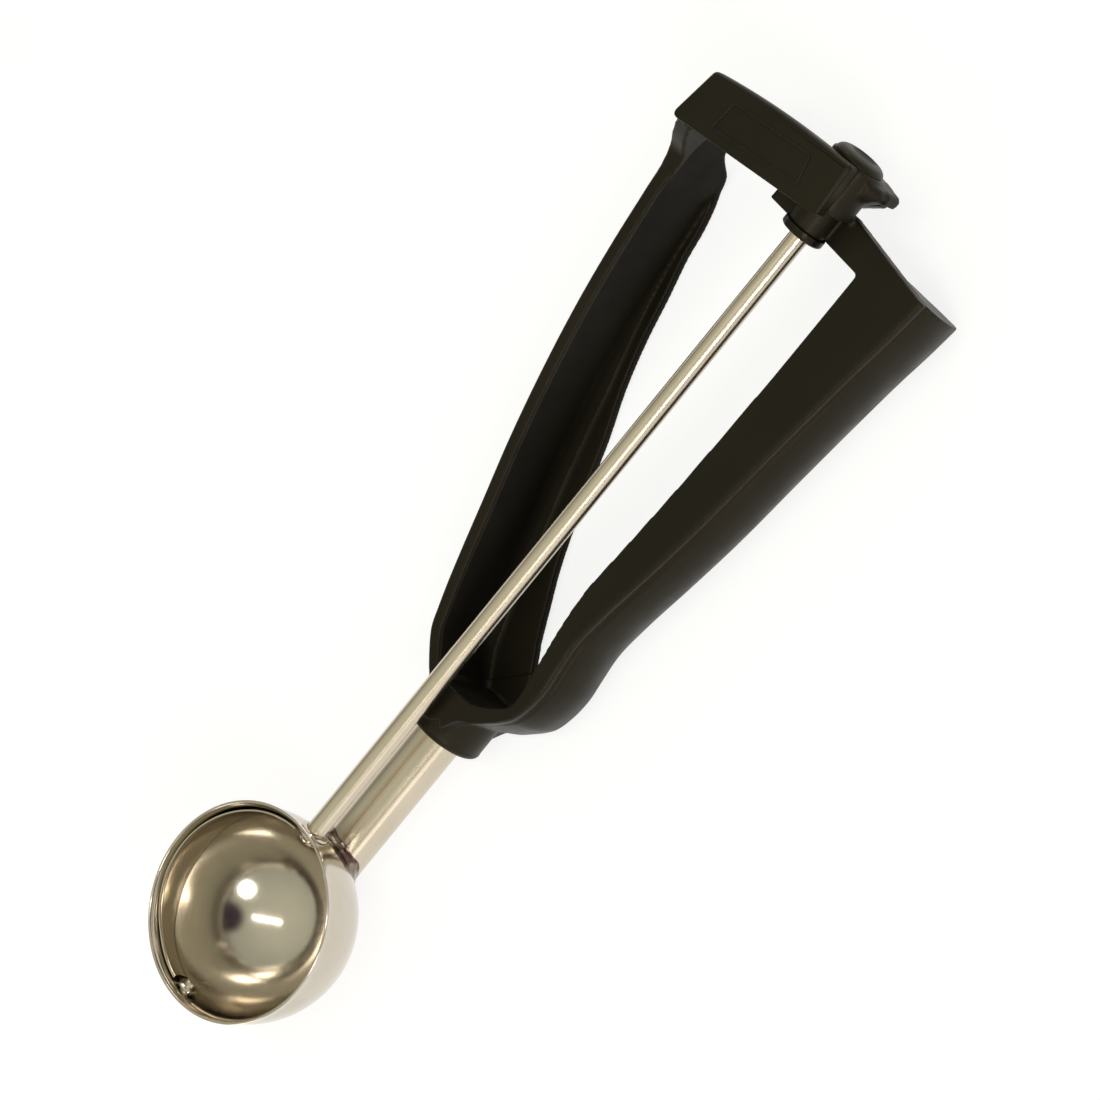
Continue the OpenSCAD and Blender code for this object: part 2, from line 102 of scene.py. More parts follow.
def metres(p):
    """A place in millimetres as a place in the frame."""
    return ((p[0] - ORIGIN_X) / 1000, (p[1] - ORIGIN_Y) / 1000, p[2] / 1000)


# ---------------------------------------------------------------- mesh helpers
SKIN_VOXEL = 0.35
SKIN_ROUNDS = 4
LEAST_GAP = 0.4


def add_object(name, data):
    """A new object in the scene, from its mesh, camera or light."""
    made = bpy.data.objects.new(name, data)
    bpy.context.collection.objects.link(made)
    return made


def build(name, points, faces):
    """A mesh object from places in millimetres."""
    mesh = bpy.data.meshes.new(name)
    mesh.from_pydata([metres(p) for p in points], [], faces)
    mesh.update()
    bm = bmesh.new()
    bm.from_mesh(mesh)
    bmesh.ops.recalc_face_normals(bm, faces=bm.faces)
    bm.to_mesh(mesh)
    bm.free()
    return add_object(name, mesh)


def loft(name, rings):
    """A closed solid through rings of equally many points."""
    n = len(rings[0])
    points = [p for ring in rings for p in ring]
    faces = []
    for i in range(len(rings) - 1):
        for j in range(n):
            a = i * n + j
            b = i * n + (j + 1) % n
            faces.append((a, b, b + n, a + n))
    last = (len(rings) - 1) * n
    faces.append(tuple(range(n)))
    faces.append(tuple(last + j for j in reversed(range(n))))
    return build(name, points, faces)


def prism(name, outline, z0, z1):
    """A flat outline in X and Y between two heights."""
    return loft(name, [[(x, y, z) for x, y in outline] for z in (z0, z1)])


def side_prism(name, outline, x0, x1):
    """An outline in Y and Z between two places along X."""
    return loft(name, [[(x, y, z) for y, z in outline] for x in (x0, x1)])


def hoop(name, rings):
    """A ring-shaped solid through rings of equally many points, the last one joined to the first."""
    n = len(rings[0])
    points = [p for ring in rings for p in ring]
    faces = []
    for i in range(len(rings)):
        here = i * n
        ahead = (i + 1) % len(rings) * n
        for j in range(n):
            k = (j + 1) % n
            faces.append((here + j, here + k, ahead + k, ahead + j))
    return build(name, points, faces)


def turned(name, profile, z, steps=96):
    """A solid turned about a line along Y at height z, from a profile of (radius, y) pairs."""
    points = []
    faces = []
    rings = []
    for radius, y in profile:
        if radius < TINY:
            rings.append([len(points)])
            points.append((0, y, z))
            continue
        rings.append(list(range(len(points), len(points) + steps)))
        for k in range(steps):
            a = 2 * math.pi * k / steps
            points.append((radius * math.cos(a), y, z + radius * math.sin(a)))
    for a, b in zip(rings, rings[1:]):
        for k in range(steps):
            corner = [a[k % len(a)], a[(k + 1) % len(a)], b[(k + 1) % len(b)], b[k % len(b)]]
            face = list(dict.fromkeys(corner))
            if len(face) > 2:
                faces.append(tuple(face))
    return build(name, points, faces)


def bar(name, radius, y0, y1, z):
    """A plain round bar along Y at height z."""
    return turned(name, [(0, y0), (radius, y0), (radius, y1), (0, y1)], z)


def arc_points(cx, cy, radius, a0, a1, steps):
    """Points on an arc in a plane, angles in degrees."""
    return [(cx + radius * math.cos(math.radians(a0 + (a1 - a0) * k / steps)),
             cy + radius * math.sin(math.radians(a0 + (a1 - a0) * k / steps)))
            for k in range(steps + 1)]


def rounded(corners, steps=6):
    """An outline with its corners rounded, from (x, y, radius) rows."""
    out = []
    n = len(corners)
    for i, (x, y, radius) in enumerate(corners):
        corner = Vector((x, y))
        if radius <= 0:
            out.append((x, y))
            continue
        back = (Vector(corners[i - 1][:2]) - corner).normalized()
        ahead = (Vector(corners[(i + 1) % n][:2]) - corner).normalized()
        reach = radius / math.tan(back.angle(ahead) / 2)
        for k in range(steps + 1):
            t = k / steps
            p = corner + back * reach * (1 - t) ** 2 + ahead * reach * t ** 2
            out.append((p.x, p.y))
    return out


def inset(outline, amounts):
    """An outline moved inwards by one amount for each of its points."""
    n = len(outline)
    area = sum(a[0] * b[1] - b[0] * a[1] for a, b in zip(outline, outline[1:] + outline[:1]))
    side = 1 if area > 0 else -1
    out = []
    for i in range(n):
        way = (Vector(outline[(i + 1) % n]) - Vector(outline[i - 1])).normalized()
        out.append((outline[i][0] - way.y * amounts[i] * side, outline[i][1] + way.x * amounts[i] * side))
    return out


def smooth_rows(rows, steps):
    """Rows of numbers with smooth in-between rows, spaced by the first two columns."""
    gaps = [max(LEAST_GAP, math.dist(a[:2], b[:2])) for a, b in zip(rows, rows[1:])]
    slopes = []
    for i, row in enumerate(rows):
        if i == 0:
            slopes.append([(b - a) / gaps[0] for a, b in zip(row, rows[1])])
        elif i == len(rows) - 1:
            slopes.append([(b - a) / gaps[-1] for a, b in zip(rows[-2], row)])
        else:
            g, h = gaps[i - 1], gaps[i]
            slopes.append([((b - a) / g * h + (c - b) / h * g) / (g + h)
                           for a, b, c in zip(rows[i - 1], row, rows[i + 1])])
    out = []
    for i, h in enumerate(gaps):
        for k in range(steps):
            t = k / steps
            out.append([
                (2 * t ** 3 - 3 * t ** 2 + 1) * a + (t ** 3 - 2 * t ** 2 + t) * h * m
                + (3 * t ** 2 - 2 * t ** 3) * b + (t ** 3 - t ** 2) * h * n
                for a, b, m, n in zip(rows[i], rows[i + 1], slopes[i], slopes[i + 1])])
    out.append(list(rows[-1]))
    return out


def applied(obj):
    """Bakes an object's modifiers into its mesh."""
    graph = bpy.context.evaluated_depsgraph_get()
    mesh = bpy.data.meshes.new_from_object(obj.evaluated_get(graph))
    obj.modifiers.clear()
    obj.data = mesh


def combine(obj, operation, other):
    """Works a second closed solid into the first: DIFFERENCE, INTERSECT or UNION."""
    mod = obj.modifiers.new("combine", "BOOLEAN")
    mod.operation = operation
    mod.solver = "EXACT"
    mod.object = other
    applied(obj)
    bpy.data.objects.remove(other)


def fused(name, parts):
    """Overlapping solids as one moulded skin with soft corners."""
    bm = bmesh.new()
    for part in parts:
        bm.from_mesh(part.data)
    mesh = bpy.data.meshes.new(name)
    bm.to_mesh(mesh)
    bm.free()
    for part in parts:
        bpy.data.objects.remove(part)
    made = add_object(name, mesh)
    skin = made.modifiers.new("skin", "REMESH")
    skin.mode = "VOXEL"
    skin.voxel_size = SKIN_VOXEL / 1000
    soft = made.modifiers.new("soft", "SMOOTH")
    soft.factor = 0.5
    soft.iterations = SKIN_ROUNDS
    applied(made)
    made.data.polygons.foreach_set("use_smooth", [True] * len(made.data.polygons))
    return made


def soft_shade(obj, angle=35):
    """Smooth shading that keeps real corners."""
    obj.data.polygons.foreach_set("use_smooth", [True] * len(obj.data.polygons))
    obj.data.set_sharp_from_angle(angle=math.radians(angle))
    return obj


# ---------------------------------------------------------------- materials
# The mix node's colour sockets by place, because its number and vector sockets have the same names
MIX_A = 6
MIX_B = 7
MIX_RESULT = 2
WARM_GLOSS = (1.0, 0.88, 0.64, 1)


def new_material(name):
    """A node material, with its nodes, its links and its shader."""
    mat = bpy.data.materials.new(name)
    mat.use_nodes = True
    nodes = mat.node_tree.nodes
    return mat, nodes, mat.node_tree.links, nodes["Principled BSDF"]


def noise(nodes, links, scale, stretch=(1, 1, 1), detail=3.0, rough=0.5):
    """Noise in the object's own metres, scale in waves per metre."""
    where = nodes.new("ShaderNodeTexCoord")
    size = nodes.new("ShaderNodeMapping")
    size.inputs["Scale"].default_value = stretch
    made = nodes.new("ShaderNodeTexNoise")
    made.inputs["Scale"].default_value = scale
    made.inputs["Detail"].default_value = detail
    made.inputs["Roughness"].default_value = rough
    links.new(where.outputs["Object"], size.inputs["Vector"])
    links.new(size.outputs["Vector"], made.inputs["Vector"])
    return made.outputs["Fac"]


def spread(nodes, links, value, low, high, out_low, out_high):
    """A value from low to high, mapped to out_low to out_high and clamped."""
    made = nodes.new("ShaderNodeMapRange")
    made.inputs["From Min"].default_value = low
    made.inputs["From Max"].default_value = high
    made.inputs["To Min"].default_value = out_low
    made.inputs["To Max"].default_value = out_high
    links.new(value, made.inputs["Value"])
    return made.outputs["Result"]


def mix_colour(nodes, links, share, a, b):
    """Colour a turning into b as the share goes from 0 to 1. Each is a tuple or an output."""
    made = nodes.new("ShaderNodeMix")
    made.data_type = "RGBA"
    links.new(share, made.inputs["Factor"])
    for socket, value in ((made.inputs[MIX_A], a), (made.inputs[MIX_B], b)):
        if isinstance(value, tuple):
            socket.default_value = (*value, 1)
        else:
            links.new(value, socket)
    return made.outputs[MIX_RESULT]


def bump(nodes, links, height, distance, strength, normal=None):
    """A bumped normal, distance in metres, on top of another one if that is given."""
    made = nodes.new("ShaderNodeBump")
    made.inputs["Distance"].default_value = distance
    made.inputs["Strength"].default_value = strength
    links.new(height, made.inputs["Height"])
    if normal is not None:
        links.new(normal, made.inputs["Normal"])
    return made.outputs["Normal"]


def moulded_plastic(name, dark, light, rough, ior=1.32):
    """Black satin plastic: fine moulded grain, faint flow marks and handling polish."""
    mat, nodes, links, shader = new_material(name)
    flow = noise(nodes, links, scale=60, stretch=(1, 0.35, 1))
    grain = noise(nodes, links, scale=2600, detail=2)
    polish = noise(nodes, links, scale=180, detail=4)
    share = spread(nodes, links, flow, low=0.35, high=0.7, out_low=0, out_high=1)
    links.new(mix_colour(nodes, links, share, dark, light), shader.inputs["Base Color"])
    worn = spread(nodes, links, polish, low=0.3, high=0.7, out_low=rough - 0.05, out_high=rough + 0.07)
    links.new(worn, shader.inputs["Roughness"])
    soft = bump(nodes, links, flow, distance=0.0004, strength=0.12)
    fine = bump(nodes, links, grain, distance=0.00003, strength=0.5, normal=soft)
    links.new(fine, shader.inputs["Normal"])
    shader.inputs["IOR"].default_value = ior
    shader.inputs["Specular IOR Level"].default_value = 0.5
    shader.inputs["Specular Tint"].default_value = WARM_GLOSS
    return mat


def polished_steel(name, colour, tint, rough, stretch, streak, detail=3.0):
    """Polished stainless steel: smudges, a warm cast and draw or spin marks, streak of them per metre."""
    mat, nodes, links, shader = new_material(name)
    shader.inputs["Metallic"].default_value = 1.0
    smudge = noise(nodes, links, scale=90, detail=4, rough=0.6)
    share = spread(nodes, links, smudge, low=0.35, high=0.75, out_low=0, out_high=1)
    links.new(mix_colour(nodes, links, share, colour, tint), shader.inputs["Base Color"])
    marks = noise(nodes, links, scale=streak, stretch=stretch, detail=detail, rough=0.6)
    worn = spread(nodes, links, marks, low=0.3, high=0.7, out_low=rough * 0.85, out_high=rough * 1.2)
    links.new(worn, shader.inputs["Roughness"])
    links.new(bump(nodes, links, marks, distance=0.000003, strength=0.15), shader.inputs["Normal"])
    return mat


def brazed(name, dark, light):
    """Brazed joint: brown heat tint that fades to bare steel, with a lumpy glossy surface."""
    mat, nodes, links, shader = new_material(name)
    shader.inputs["Metallic"].default_value = 1.0
    shader.inputs["Roughness"].default_value = 0.2
    lumps = noise(nodes, links, scale=420, detail=4)
    share = spread(nodes, links, lumps, low=0.4, high=0.62, out_low=0, out_high=1)
    links.new(mix_colour(nodes, links, share, dark, light), shader.inputs["Base Color"])
    links.new(bump(nodes, links, lumps, distance=0.0004, strength=0.5), shader.inputs["Normal"])
    return mat


BLACK = moulded_plastic("handle_plastic_moulded", dark=(0.0072, 0.0060, 0.0039),
                        light=(0.0115, 0.0096, 0.0063), rough=0.43)
# Less glossy copy of the plastic with a lower IOR: painted shade for the squeeze arm's channel between the
# arms
SHADED_CHANNEL = moulded_plastic("handle_plastic_painted_shade", dark=(0.0090, 0.0078, 0.0054),
                          light=(0.0130, 0.0112, 0.0080), rough=0.46, ior=1.14)
BUSH = moulded_plastic("bush_plastic", dark=(0.0040, 0.0035, 0.0027),
                       light=(0.0065, 0.0055, 0.0042), rough=0.30)
BOWL = polished_steel("bowl_steel_polished", colour=(0.615, 0.56, 0.475), tint=(0.56, 0.51, 0.43),
                      rough=0.13, stretch=(1, 1, 6), streak=500)
SHANK = polished_steel("shank_steel_drawn", colour=(0.64, 0.565, 0.45), tint=(0.59, 0.52, 0.41),
                       rough=0.26, stretch=(1, 0.01, 1), streak=420, detail=1.0)
GEAR = polished_steel("gear_steel_cut", colour=(0.58, 0.57, 0.54), tint=(0.50, 0.49, 0.46),
                      rough=0.32, stretch=(1, 8, 1), streak=700)
BRAZE = brazed("braze_tinted", dark=(0.10, 0.064, 0.052), light=(0.34, 0.28, 0.22))


def dress(obj, body, slot, material, *nodes):
    """Gives a new piece its material, hides the nodes it stands for and joins it to its body; slot is not
    used.
    """
    obj.data.materials.clear()
    obj.data.materials.append(material)
    if nodes:
        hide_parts(*nodes)
    if body:
        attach(obj, body)


# ---------------------------------------------------------------- bowl
RIM_WALL = 0.65
RIM_ROUND = 0.3
BAND_STRAIGHT = 0.8
QUARTER = [math.pi / 2 * k / 48 for k in range(49)]


def lip(flare, steps=14):
    """Outward curve of the band as (added radius, height) pairs up to the rounded rim."""
    height = BOWL_BAND - RIM_ROUND
    return [(flare * max(0.0, (height * k / steps - BAND_STRAIGHT) / (height - BAND_STRAIGHT)) ** 3,
             height * k / steps)
            for k in range(1, steps + 1)]


def bowl_profile():
    """Half section of the spun bowl: outside from the bottom, rolled lip, inside to the bottom."""
    outer = [(BOWL_R * math.sin(a), ROD_Z - BOWL_R * math.cos(a)) for a in QUARTER]
    outer += [(BOWL_R + r, ROD_Z + z) for r, z in lip(BOWL_FLARE)]
    top = ROD_Z + BOWL_BAND
    mid = BOWL_R + BOWL_FLARE - RIM_WALL / 2
    rim = [(mid + RIM_WALL / 2 * math.cos(a), top - RIM_ROUND + RIM_ROUND * math.sin(a))
           for a in [math.pi * k / 10 for k in range(1, 10)]]
    inner_r = BOWL_R - BOWL_WALL
    inner = [(inner_r + r, ROD_Z + z) for r, z in reversed(lip(BOWL_FLARE + BOWL_WALL - RIM_WALL))]
    inner += [(inner_r * math.sin(a), ROD_Z - inner_r * math.cos(a)) for a in reversed(QUARTER)]
    return outer + rim + inner


def turned_up(name, profile, steps=192):
    """A solid turned about the vertical line through the bowl's centre, from (radius, z) pairs."""
    made = turned(name, profile, 0, steps)
    turn = Matrix(((1, 0, 0, -ORIGIN_X / 1000), (0, 0, 1, -ORIGIN_Y / 1000), (0, 1, 0, 0), (0, 0, 0, 1)))
    back = Matrix.Translation((ORIGIN_X / 1000, ORIGIN_Y / 1000, 0))
    made.data.transform(turn @ back)
    made.data.flip_normals()
    return made


bowl = turned_up("spun_bowl", bowl_profile())
dress(soft_shade(bowl, 60), "frame", "bowl_steel", BOWL, "bowl")

# Flanged eyelet in the back wall, as (radius past the rod, y) pairs
SLEEVE_T = 0.75
sleeve_y = math.sqrt(BOWL_R ** 2 - (ROD_R + SLEEVE_T) ** 2) - BOWL_WALL
EYELET = [(RUN_GAP, sleeve_y), (SLEEVE_T, sleeve_y), (SLEEVE_T, BOWL_R - 0.1), (1.15, BOWL_R - 0.1),
          (1.25, BOWL_R + 0.2), (1.15, BOWL_R + 0.5), (0.85, BOWL_R + 0.7), (0.2, BOWL_R + 0.7),
          (RUN_GAP, BOWL_R + 0.55), (RUN_GAP, sleeve_y)]
eyelet = turned("rod_eyelet", [(ROD_R + r, y) for r, y in EYELET], ROD_Z)
dress(soft_shade(eyelet), "frame", "bowl_steel", BOWL, "bowl_eyelet")

# Pivot rivet in the front wall, as (radius, y) pairs from its domed head to its tip
RIVET = [(0, -24.5), (1, -24.45), (1.7, -24.2), (2.2, -23.7), (2.3, -23.2), (2.3, -22.7), (1.5, -22.6),
         (1.5, -19.6), (1.3, -19.4), (0, -19.4)]
dress(soft_shade(turned("pivot_rivet", RIVET, ROD_Z)), "frame", "shank_steel", SHANK, "front_pivot")

# ---------------------------------------------------------------- scraper blade
BLADE_GAP = 0.15
BLADE_R = BOWL_R - BOWL_WALL - BLADE_GAP
BLADE_T = 0.65
BLADE_HALF = math.radians(10.6)
BLADE_NECK = 2.4
BLADE_PARK = math.radians(0.3)
BLADE_ROUND = 0.2
HUB_R = ROD_R + 0.7
HUB_GAP = 0.3
HUB_CHAMFER_R = 0.3
HUB_CHAMFER_Y = 0.25
HUB_Y = math.sqrt((BOWL_R - BOWL_WALL) ** 2 - HUB_R ** 2) - HUB_GAP
BACK_HUB_LEN = 0.7
FRONT_HUB_LEN = 1.0


def scraper():
    """Curved strip along the bowl's left wall, with rounded long edges."""
    along = 72
    across = 14
    lim = math.degrees(math.asin(HUB_Y / BLADE_R))
    outer = []
    for i in range(along + 1):
        lat = math.radians(-lim + 2 * lim * i / along)
        ring = BLADE_R * math.cos(lat)
        half = max(BLADE_HALF, math.asin(min(1, BLADE_NECK / ring)))
        row = []
        for k in range(across + 1):
            a = math.pi + BLADE_PARK - half + 2 * half * k / across
            row.append(Vector((math.cos(lat) * math.cos(a), math.sin(lat), math.cos(lat) * math.sin(a))))
        outer.append(row)
    inside = BLADE_R - BLADE_T
    rings = []
    for row in outer:
        ring = [p * BLADE_R for p in row[1:-1]]
        ring += [row[-1] * (BLADE_R - BLADE_ROUND), row[-1] * (inside + BLADE_ROUND)]
        ring += [p * inside for p in reversed(row[1:-1])]
        ring += [row[0] * (inside + BLADE_ROUND), row[0] * (BLADE_R - BLADE_ROUND)]
        rings.append([(p.x, p.y, p.z + ROD_Z) for p in ring])
    return loft("scraper_strip", rings)


def hub(name, radius, y0, y1):
    """A hub on the rod's line with chamfered ends."""
    end_r = radius - HUB_CHAMFER_R
    made = turned(name, [(0, y0), (end_r, y0), (radius, y0 + HUB_CHAMFER_Y), (radius, y1 - HUB_CHAMFER_Y),
                         (end_r, y1), (0, y1)], ROD_Z)
    dress(soft_shade(made), "rod", "bowl_steel", BOWL)


dress(soft_shade(scraper(), 40), "rod", "bowl_steel", BOWL, "scraper_blade")
hub("scraper_hub_back", ROD_R + 0.3, HUB_Y - BACK_HUB_LEN, HUB_Y)
hub("scraper_hub_front", ROD_R + 0.35, -HUB_Y, FRONT_HUB_LEN - HUB_Y)

# ---------------------------------------------------------------- rod and shank tube
# The rod stands a little out of the back hub, and ends short of the cap
ROD_Y0 = HUB_Y - BACK_HUB_LEN - 0.3
ROD_Y1 = ROOF_Y1 - 0.35
LOW_CHAMFER = 0.3
TOP_CHAMFER = 0.2
rod = turned("drive_rod_drawn", [
    (0, ROD_Y0), (ROD_R - LOW_CHAMFER, ROD_Y0), (ROD_R, ROD_Y0 + LOW_CHAMFER),
    (ROD_R, ROD_Y1 - TOP_CHAMFER), (ROD_R - TOP_CHAMFER, ROD_Y1), (0, ROD_Y1)], ROD_Z)
dress(soft_shade(rod), "rod", "shank_steel", SHANK, "drive_rod")

# The tube starts inside the bowl's ball, which is then taken out of it
TUBE_Y0 = 15
TUBE_Y1 = 60.5
TUBE_BORE = TUBE_R - TUBE_WALL
tube = turned("shank_tube_drawn", [
    (TUBE_BORE, TUBE_Y0), (TUBE_R, TUBE_Y0), (TUBE_R, TUBE_Y1), (TUBE_BORE, TUBE_Y1), (TUBE_BORE, TUBE_Y0)],
    TUBE_Z)
ball = turned_up("ball", [(0, ROD_Z - BOWL_R)] + [
    (BOWL_R * math.sin(math.pi * k / 64), ROD_Z - BOWL_R * math.cos(math.pi * k / 64))
    for k in range(1, 64)] + [(0, ROD_Z + BOWL_R)])
combine(tube, "DIFFERENCE", ball)
dress(soft_shade(tube), "frame", "shank_steel", SHANK, "shank_tube")

BRAZE_W = 2.3
# Waves of the fillet's width: size, waves round the ring, phase
BRAZE_WAVES = ((0.3, 3, 1), (0.18, 7, 0))
BRAZE_SINK = 0.05


def braze():
    """Concave fillet of braze between the tube and the round bowl."""
    around = 120
    curve = [math.pi / 2 * j / 10 for j in range(11)]
    rings = []
    for k in range(around):
        a = 2 * math.pi * k / around
        width = sum((size * math.sin(count * a + phase) for size, count, phase in BRAZE_WAVES), BRAZE_W)
        section = [(TUBE_R - 0.3, -0.5)]
        section += [(TUBE_R + width * (1 - math.cos(b)), width * (1 - math.sin(b))) for b in curve]
        section.append((TUBE_R + width, -0.3))
        ring = []
        for r, lift in section:
            x = r * math.cos(a)
            z = TUBE_Z + r * math.sin(a)
            on_bowl = math.sqrt(max(0.0, BOWL_R ** 2 - x ** 2 - (z - ROD_Z) ** 2))
            ring.append((x, on_bowl + lift - BRAZE_SINK, z))
        rings.append(ring)
    return hoop("braze_ring", rings)


dress(soft_shade(braze(), 60), "frame", "braze", BRAZE, "braze_fillet")

# ---------------------------------------------------------------- moulded handle
# Fixed arm: inner x, inner height, outer x, outer height, share of the crown, lean back, back z
ARM_ROWS = [
    [0, 0.8, 5.2, -3.5, 0, 0, 0], [3.2, 4.5, 7.8, 0.9, 0, 0, 0], [6.4, 5, 10.3, 2.4, 0.1, 0, 0],
    [9.4, 6.4, 12.9, 4.9, 0.2, 0, 0], [12.4, 8.6, 15.3, 7.5, 0.35, 0, 0], [15, 11.4, 17, 10.4, 0.6, 0, 0],
    [15.1, 14.6, 17.9, 14.3, 0.8, 0, 0], [14.4, 18.2, 18.2, 18.6, 0.9, 0, 0],
    [13.5, 23.6, 17.6, 23.8, 0.9, 0, 0], [12.4, 30, 16.9, 30, 0.95, 0, 0],
    [11.5, 39, 17.6, 38.5, 1.05, 0, 0], [12.1, 52, 19.5, 51.2, 1.2, 0, 0],
    [12.8, 66, 21.5, 65.2, 1.25, 0, 0], [13.4, 85, 23.5, 84, 1.2, 0, 0],
    [13.7, 100, 25.2, 99, 1.1, 0, 0], [13.8, 115, 27, 113.5, 1, 0, 0],
    [13.8, 124, 28.3, 122.8, 0.97, 0.1, 0.1], [13.7, 132.3, 29.3, 131.7, 0.88, 0.21, 0.2]]
CROWN = 2.4
# Side of the fixed arm, front to back: share of the crown, height share
SIDE = [[0.4, 0.81], [0.8, 0.68], [1, 0.53], [0.93, 0.38], [0.62, 0.24], [0.1, 0.1], [-0.9, 0.02]]
# Lip and groove along its front edge: share of the crown, height share
LIP = [(0.3, 0.975), (0.33, 0.93), (0.2, 0.895), (0, 0.875), (0.02, 0.85)]
# Distance from the outer side to the flat back's edge, and the least width of the flat back
EDGE_BACK = 4.5
FLAT_BACK = 1.2
LEAN_FADE = 0.3


def arm_ring(row):
    """Section of the fixed arm: front plate with a lip, groove, padded side and flat back."""
    inner = Vector(row[0:2])
    outer = Vector(row[2:4])
    crown, lean, back_z = row[4:7]
    w = (outer - inner).length
    way = (outer - inner) / w
    share = CROWN * max(crown, 0)
    profile = [(0, 1), (w, 1)]
    profile += [(w + s * share, h) for s, h in LIP]
    profile += [(w + share * s, h) for s, h in smooth_rows(SIDE, 4)]
    profile += [(w - min(EDGE_BACK, w - FLAT_BACK), 0), (0, 0)]
    depth = HANDLE_D - back_z
    ring = []
    for s, h in profile:
        lean_y = lean * (1 - LEAN_FADE * min(1, s / w)) * depth * (1 - h)
        ring.append((inner.x + way.x * s, up(inner.y) + way.y * s - lean_y, back_z + h * depth))
    return ring


arm = loft("arm", [arm_ring(row) for row in smooth_rows(ARM_ROWS, 6)])
# Hollow behind the fixed arm's front plate
pocket = prism("pocket", [(10, up(57)), (13.6, up(57)), (21, BAR_Y0 - 7), (10, BAR_Y0 - 7)],
               -1, HANDLE_D - PLATE_T)
combine(arm, "DIFFERENCE", pocket)

# Squeeze arm: outer x, outer height, share of the crown, back z, front z less handle depth
LEVER_ROWS = [
    [-4.6, 2, 0.1, 0, 0], [-9.1, 6.3, 0.3, 0, 0], [-11.9, 9.7, 0.7, 0, 0],
    [-13.6, 13.7, 1, 0, 0], [-15.3, 18, 1, 0, 0], [-18, 25.6, 1, 0, 0],
    [-21.2, 35.2, 1, 0, 0], [-26, 49.5, 1, 0, 0], [-30.5, 65.4, 1, 0, 0],
    [-34, 80.5, 1, 0, 0], [-36.6, 95.5, 1, 0, 0], [-38.1, 106.5, 1, 0, 0],
    [-39.2, 113.6, 0.8, 0.6, 0], [-39.7, 117, 0.5, 3, 1], [-39.6, 120, 0.2, 6.5, 3.6],
    [-38.8, 124.6, 0.15, 10.5, 7]]
LEVER_CROWN = 1.7
# Outer side of the squeeze arm, back to front: share of the crown, height share
LEVER_SIDE = [[0.0, 0.012], [0.3, 0.06], [0.8, 0.2], [1, 0.4], [1, 0.6], [0.8, 0.8], [0.3, 0.95]]
# Its wall thickens by WALL_GAIN along the arm, and by TOP_GAIN within TOP_OVER above the height TOP_FROM
WALL_GAIN = 0.4
TOP_GAIN = 1.4
TOP_FROM = 108
TOP_OVER = 8
# The round between wall and flange fades out within FILLET_FADE below the height FILLET_END
FILLET_R = 3.6
FILLET_END = 100
FILLET_FADE = 35
# Free edge of the flange, top to bottom: x, height
FLANGE_EDGE = [
    (-36.2, 113.6), (-35.2, 111.8), (-33.9, 108.4), (-32.8, 104.4), (-31.7, 98.4), (-29.1, 89),
    (-26.8, 79.9), (-23.2, 69.2), (-18.6, 59), (-14.7, 48.6), (-11.0, 39.2), (-7.6, 31.9),
    (-4.1, 25.7), (0.2, 18.2), (3.0, 13.5), (4.4, 9.5), (4.6, 7.4)]
FLANGE_INSET = 1.2
BACK_SKIN = 0.05


def lever_rings():
    """Sections of the squeeze arm: wall, rounded inner corner, back and padded outer side."""
    rows = smooth_rows(LEVER_ROWS, 5)
    rings = []
    for i, (x, height, crown, z0, front) in enumerate(rows):
        before = rows[max(i - 1, 0)]
        after = rows[min(i + 1, len(rows) - 1)]
        step = Vector((after[0] - before[0], after[1] - before[1])).normalized()
        side = Vector((step.y, -step.x))
        top_gain = TOP_GAIN * min(1, max(0, (height - TOP_FROM) / TOP_OVER))
        thick = LEVER_WALL + WALL_GAIN * i / (len(rows) - 1) + top_gain
        fade = min(1, max(0.02, (FILLET_END - height) / FILLET_FADE))
        fillet = FILLET_R * fade * min(1, 0.3 + height / 14)
        span = HANDLE_D + front - z0
        profile = [(0, 1), (thick, 1)]
        for k in range(9):
            a = math.pi / 2 * k / 8
            profile.append((thick + fillet * (1 - math.cos(a)),
                            (FLANGE_T + fillet * (1 - math.sin(a))) / span))
        profile += [(thick + fillet, 0.03), (0.9, 0)]
        profile += [(-LEVER_CROWN * crown * s, h) for s, h in smooth_rows(LEVER_SIDE, 3)]
        rings.append([(x + side.x * s, up(height) + side.y * s, z0 + span * h) for s, h in profile])
    return rings


def flange_outline():
    """Flange along the back of the squeeze arm: its free edge, then a line inside the arm's wall."""
    outline = [(x, up(h)) for x, h in smooth_rows(FLANGE_EDGE, 4)] + [(0, PIVOT_Y + 3)]
    for i in range(1, len(LEVER_ROWS) - 4):
        a = LEVER_ROWS[i - 1]
        b = LEVER_ROWS[i + 1]
        step = Vector((b[0] - a[0], b[1] - a[1])).normalized()
        x, height = LEVER_ROWS[i][:2]
        outline.append((x + step.y * FLANGE_INSET, up(height - step.x * FLANGE_INSET)))
    return outline


wall = loft("wall", lever_rings())
flange = prism("flange", flange_outline(), BACK_SKIN, FLANGE_T)

# Collar round the tube, with a rolled lip at its mouth and a longer side under the fixed arm
COLLAR_R = 9.0
LIP_BORE = TUBE_R + 0.4
collar = turned("collar", [
    (0, COLLAR_Y), (COLLAR_R - 0.5, COLLAR_Y), (COLLAR_R - 0.15, COLLAR_Y + 0.15),
    (COLLAR_R, COLLAR_Y + 0.5), (COLLAR_R, PIVOT_Y - 1.5), (0, PIVOT_Y - 1.5)], TUBE_Z)
collar_lip = turned("collar_lip", [
    (LIP_BORE, COLLAR_Y - 0.35), (COLLAR_R - 0.7, COLLAR_Y - 0.35), (COLLAR_R - 0.1, COLLAR_Y + 0.1),
    (COLLAR_R + 0.15, COLLAR_Y + 0.8), (COLLAR_R - 0.3, COLLAR_Y + 1.6), (LIP_BORE, COLLAR_Y + 1.6),
    (LIP_BORE, COLLAR_Y - 0.35)], TUBE_Z)
